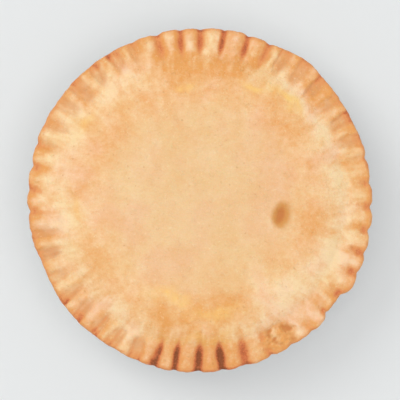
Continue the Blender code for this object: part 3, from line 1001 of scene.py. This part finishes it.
# %% Section of the tin
FOIL = 0.3 * MM
TIN_BASE_RADIUS = 39.9 * MM
TIN_MOUTH_RADIUS = 50.7 * MM
TIN_BEND = 1.3 * MM
TIN_RADIUS = 56.3 * MM
RIM_LEVEL = 22.8 * MM
ROLL_RADIUS = 0.6 * MM
BASE_RINGS = (0, 8, 16, 24, 28, 29, 29.7, 30.4, 31, 31.6, 32.3, 33, 34, 36, 38)  # mm, close at the ring
RIM_RINGS = (52.2, 53.4, 54.6, 55.3)  # mm


def wall_radius(height):
    """Outside of the plain wall at a height."""
    start = TIN_BASE_RADIUS + TIN_BEND / 2
    return start + height / TIN_DEPTH * (TIN_MOUTH_RADIUS - start)


def tin_line(offset):
    """The tin from the middle of its base to its flat rim, offset inwards by the thickness of the foil."""
    base = [(radius * MM, offset) for radius in BASE_RINGS]
    base.append((TIN_BASE_RADIUS - 0.2 * MM, offset + 0.05 * MM))
    wall = [(wall_radius(0.5 * MM) - offset, 0.55 * MM)]
    wall += [(wall_radius(high * MM) - offset, high * MM) for high in np.linspace(1.4, 22.0, 14)]
    mouth = [(wall_radius(22.6 * MM) + 0.12 * MM - 0.7 * offset, 22.62 * MM)]
    mouth.append((TIN_MOUTH_RADIUS + 0.65 * MM, RIM_LEVEL + offset))
    return base + wall + mouth + [(radius * MM, RIM_LEVEL + offset) for radius in RIM_RINGS]


def tin_section():
    """Up the inside of the tin, round its rolled edge and back down the outside."""
    middle = (TIN_RADIUS - ROLL_RADIUS, TIN_DEPTH + 0.1 * MM - ROLL_RADIUS)
    roll = []
    for turn in np.radians(np.linspace(95, -200, 13)):
        roll.append((middle[0] + ROLL_RADIUS * math.cos(turn), middle[1] + ROLL_RADIUS * math.sin(turn)))
    return tin_line(FOIL) + roll + tin_line(0)[::-1]


# %% Spin the tin
FLUTES = 60
STEPS_PER_FLUTE = 16

tin = spin_section("pressed_foil", tin_section(), FLUTES * STEPS_PER_FLUTE)
radius, angle, height = read_points(tin)
print("tin", len(tin.data.vertices), "points")

# %% Press its flutes
FLUTE_DEPTH = 0.55 * MM
FLUTE_SIDES = (-1, 0.7)  # of that depth, in the folds and on the bulges
FLUTE_GROWTH = (0.55, 1.15)  # from the base to the mouth
FLUTE_ROUNDNESS = 0.9  # less gives rounder bulges and sharper folds
FLUTE_WOBBLE = 0.22  # of a flute
FLUTE_STRENGTH = (0.90, 0.35)  # and how much it varies
WALL_AT = 45 * MM  # radius halfway up

tin_places = to_places(radius, angle, height)
round_tin = to_places(WALL_AT, angle, np.zeros_like(angle))
wobble = FLUTE_WOBBLE * bumps(round_tin, 5 * MM, 30)
strength = FLUTE_STRENGTH[0] + FLUTE_STRENGTH[1] * bumps(round_tin, 3.5 * MM, 31)
bulge = np.abs(np.cos(FLUTES * angle / 2 + TURN / 2 * wobble)) ** FLUTE_ROUNDNESS
flute = strength * between(FLUTE_SIDES, bulge) * between(FLUTE_GROWTH, height / TIN_DEPTH)
on_wall = smooth(0.6 * MM, 2.6 * MM, height) * smooth(TIN_DEPTH, TIN_DEPTH - TIN_BEND, height)
on_wall = on_wall * (radius < TIN_MOUTH_RADIUS + 0.4 * MM)
radius += on_wall * FLUTE_DEPTH * flute

# %% Press the ring into its base, and dent its wall a little
RING_RADIUS = 31.0 * MM
RING_HALF = 1.1 * MM
RING_RISE = 0.35 * MM
DENT = 0.06 * MM
UPRIGHT_DENT = 0.05 * MM

height += RING_RISE * bell(radius - RING_RADIUS, RING_HALF) * (height < 1.0 * MM)
dents = DENT * bumps(tin_places, 6 * MM, 32)
dents += UPRIGHT_DENT * streaks(angle, height, 0.8 * MM, 12 * MM, WALL_AT, 43)
radius += on_wall * dents
write_points(tin, radius, angle, height)

# %% Where its colour is painted darker as shade, and what it belongs to
WRINKLE_SHADE = 0.35

# The folds between the flutes and the fine upright wrinkles are painted darker: painted shade, not the
# foil's own colour.
painted_foil_shade = smooth(0.75, 0.0, bulge) * strength
painted_wrinkle_shade = smooth(0.1, 0.9, streaks(angle, height, 1.0 * MM, 16 * MM, WALL_AT, 47))
write_attribute(tin, "painted_foil_shade", on_wall * (painted_foil_shade + WRINKLE_SHADE * painted_wrinkle_shade))
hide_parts("foil_tin")
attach(tin, "root")

# %% [markdown]
# ## Foil
#
# Foil is bright metal with a satin face. Metal shows what is round it more than its own colour, and where
# the folds between the flutes mirror one another they look darker, as do fine upright wrinkles in the
# wall. An attribute says where these are, and the colour there is painted darker: painted shade. The
# crinkle from the press is finer than the mesh, so it is bump, and the roughness varies over the foil too.

# %% The foil material
FOIL_BRIGHT = (0.93, 0.94, 0.95, 1)
# the colour of the painted shade in the folds and wrinkles
FOIL_PAINTED_SHADE = (0.46, 0.47, 0.49, 1)

foil, tree, shader = new_material("pressed foil")
folded = maths(tree, "ABSOLUTE", maths(tree, "SUBTRACT", noise_of(tree, 6 * MM), 0.5), 0.0)
sharp_folds = maths(tree, "MULTIPLY", folded, 2.5)
crinkle = maths(tree, "SUBTRACT", noise_of(tree, 2.4 * MM, 3.0, 0.55), sharp_folds)
surface = {
    "Base Color": blend_colour(tree, attribute_of(tree, "painted_foil_shade"), FOIL_BRIGHT, FOIL_PAINTED_SHADE),
    "Metallic": 1.0,
    "Roughness": ramp(tree, noise_of(tree, 2.5 * MM, 3.0), 0.3, 0.7, 0.11, 0.22),
    "Normal": bump_of(tree, 0.4, 0.25 * MM, crinkle),
}
join(tree, shader, surface)
tin.data.materials.append(foil)
print("pressed foil:", len(tree.nodes), "nodes")

# %% [markdown]
# ## The dressed pie's size
#
# The dressed pie must keep the size of the plain one, so its box is printed at the end, as the plain
# model's was printed at the start.

# %% Print the dressed pie's box
low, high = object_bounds()
print("dressed", [round(1000 * side, 2) for side in high - low], "mm")
